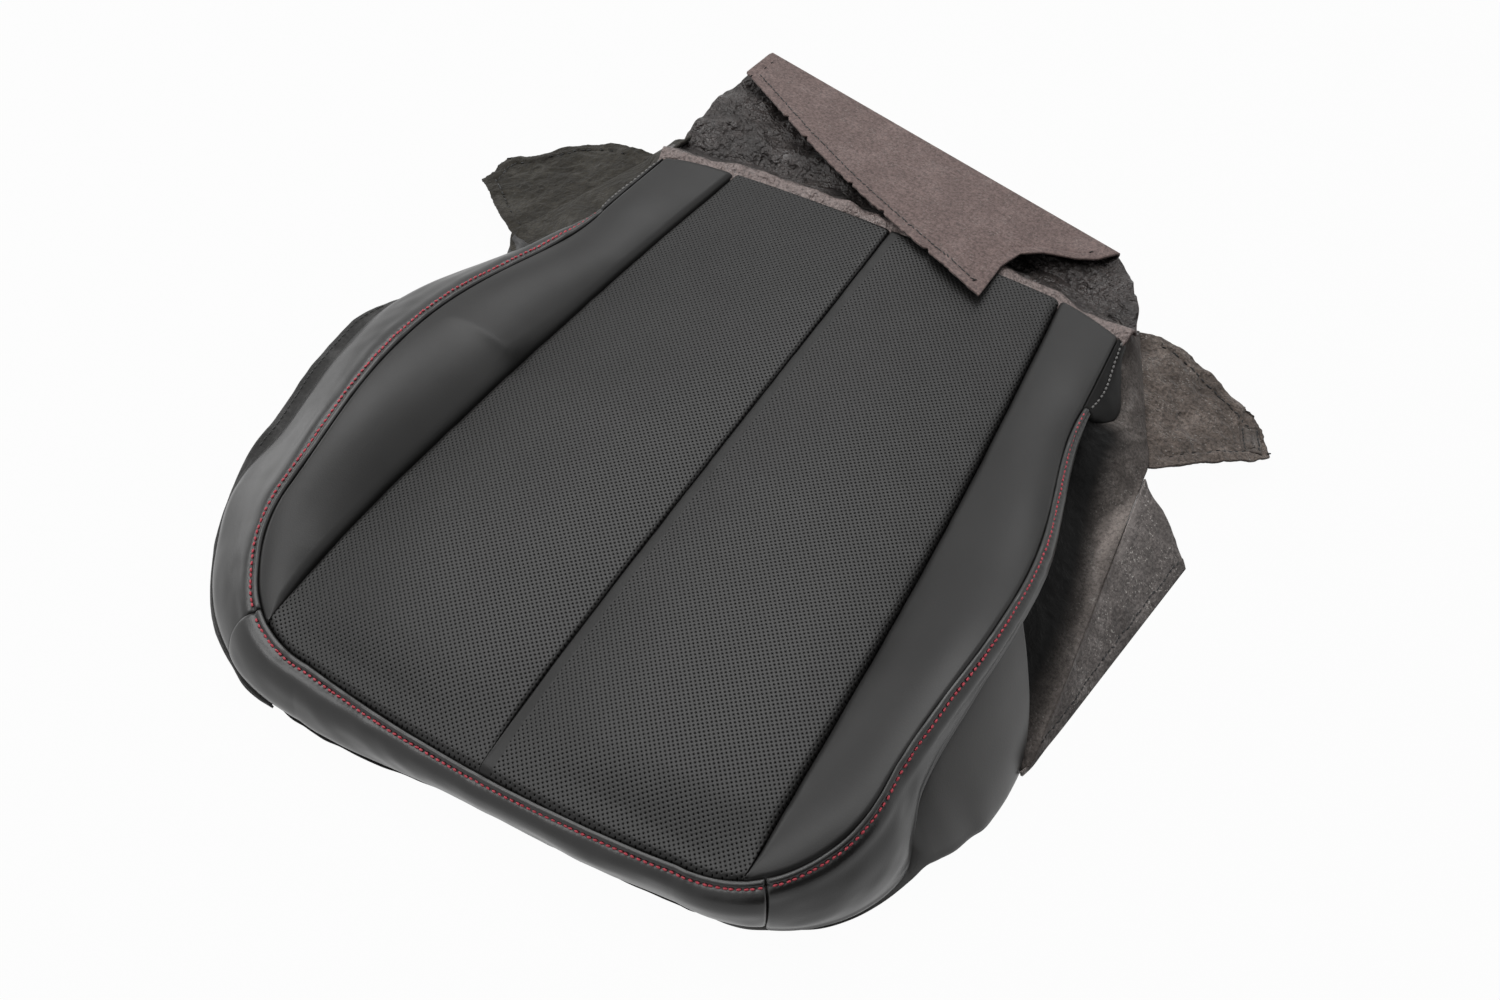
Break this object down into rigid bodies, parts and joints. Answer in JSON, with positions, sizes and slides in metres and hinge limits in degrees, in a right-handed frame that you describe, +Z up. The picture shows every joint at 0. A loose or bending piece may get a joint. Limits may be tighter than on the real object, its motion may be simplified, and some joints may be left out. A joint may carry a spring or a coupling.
{
  "type": "car seat cushion cover",
  "caption": "Black leather trim cover of a car seat cushion with perforated middle panels, red topstitching and nonwoven side and rear flaps, standing on its hems.",
  "frame": {"origin": "on the floor, in the mid-plane of the seat, under the hollow that takes the seat foam, 248 mm behind the front seam", "axes": "+Z up, -Y towards the front edge of the seat, +X towards the side with the smooth leather lower panel"},
  "size_m": [0.6104, 0.6368, 0.0933],
  "materials": {
    "leather_smooth": "fine-grained black leather, satin",
    "leather_perforated": "perforated black leather, satin",
    "foam": "grey foam laminate with scrim, matte",
    "nonwoven_side": "brown-black nonwoven cloth, fuzzy, matte",
    "nonwoven_rear": "taupe nonwoven felt, matte",
    "sleeve_cloth": "white nonwoven, matte",
    "wire_steel": "drawn steel wire",
    "hook_plastic": "black extruded plastic",
    "red_thread": "red sewing thread",
    "white_thread": "off-white sewing thread"
  },
  "bodies": {
    "cover": {"bolster_foam_left": "foam", "bolster_foam_right": "foam", "bolster_panel_left": "leather_smooth", "bolster_panel_right": "leather_smooth", "border_foam_front": "foam", "border_foam_left": "foam", "border_foam_right": "foam", "border_front": "leather_smooth", "border_left": "leather_smooth", "border_right": "leather_smooth", "corner_stitch_left": "white_thread", "corner_stitch_right": "white_thread", "front_hem": "nonwoven_side", "hook_strip_front": "hook_plastic", "insert_foam_left": "foam", "insert_foam_right": "foam", "insert_panel_left": "leather_perforated", "insert_panel_right": "leather_perforated", "listing_sleeve_centre": "sleeve_cloth", "listing_sleeve_left": "sleeve_cloth", "listing_sleeve_right": "sleeve_cloth", "listing_wire_centre": "wire_steel", "listing_wire_left": "wire_steel", "listing_wire_right": "wire_steel", "outer_panel_left": "nonwoven_side", "outer_panel_right": "leather_smooth", "rear_band": "nonwoven_rear", "rear_corner_left": "leather_smooth", "rear_corner_right": "leather_smooth", "red_topstitch_front": "red_thread", "red_topstitch_left": "red_thread", "red_topstitch_right": "red_thread", "side_cloth_left": "nonwoven_side", "side_cloth_right": "nonwoven_side", "skirt_right": "nonwoven_side"},
    "rear_flap_body": {"rear_flap": "nonwoven_rear", "rear_flap_hem": "nonwoven_rear"},
    "tab_left_body": {"tab_left": "nonwoven_side", "tab_left_hem": "nonwoven_side"},
    "tab_right_body": {"tab_right": "nonwoven_side", "tab_right_hem": "nonwoven_side", "tab_right_patch": "nonwoven_side"}
  },
  "joints": [
    {"name": "rear_flap_fold", "type": "hinge", "parent": "cover", "child": "rear_flap_body", "pos_m": [-0.021, 0.341, 0.062], "axis": [-0.9756, 0.2195, 0], "range_deg": [0, 165]},
    {"name": "tab_left_fold", "type": "hinge", "parent": "cover", "child": "tab_left_body", "pos_m": [-0.2275, 0.1975, 0.039], "axis": [0.3162, 0.9487, 0], "range_deg": [0, 100]},
    {"name": "tab_right_fold", "type": "hinge", "parent": "cover", "child": "tab_right_body", "pos_m": [0.201, 0.217, 0.035], "axis": [0.4407, -0.8977, 0], "range_deg": [0, 100]}
  ]
}
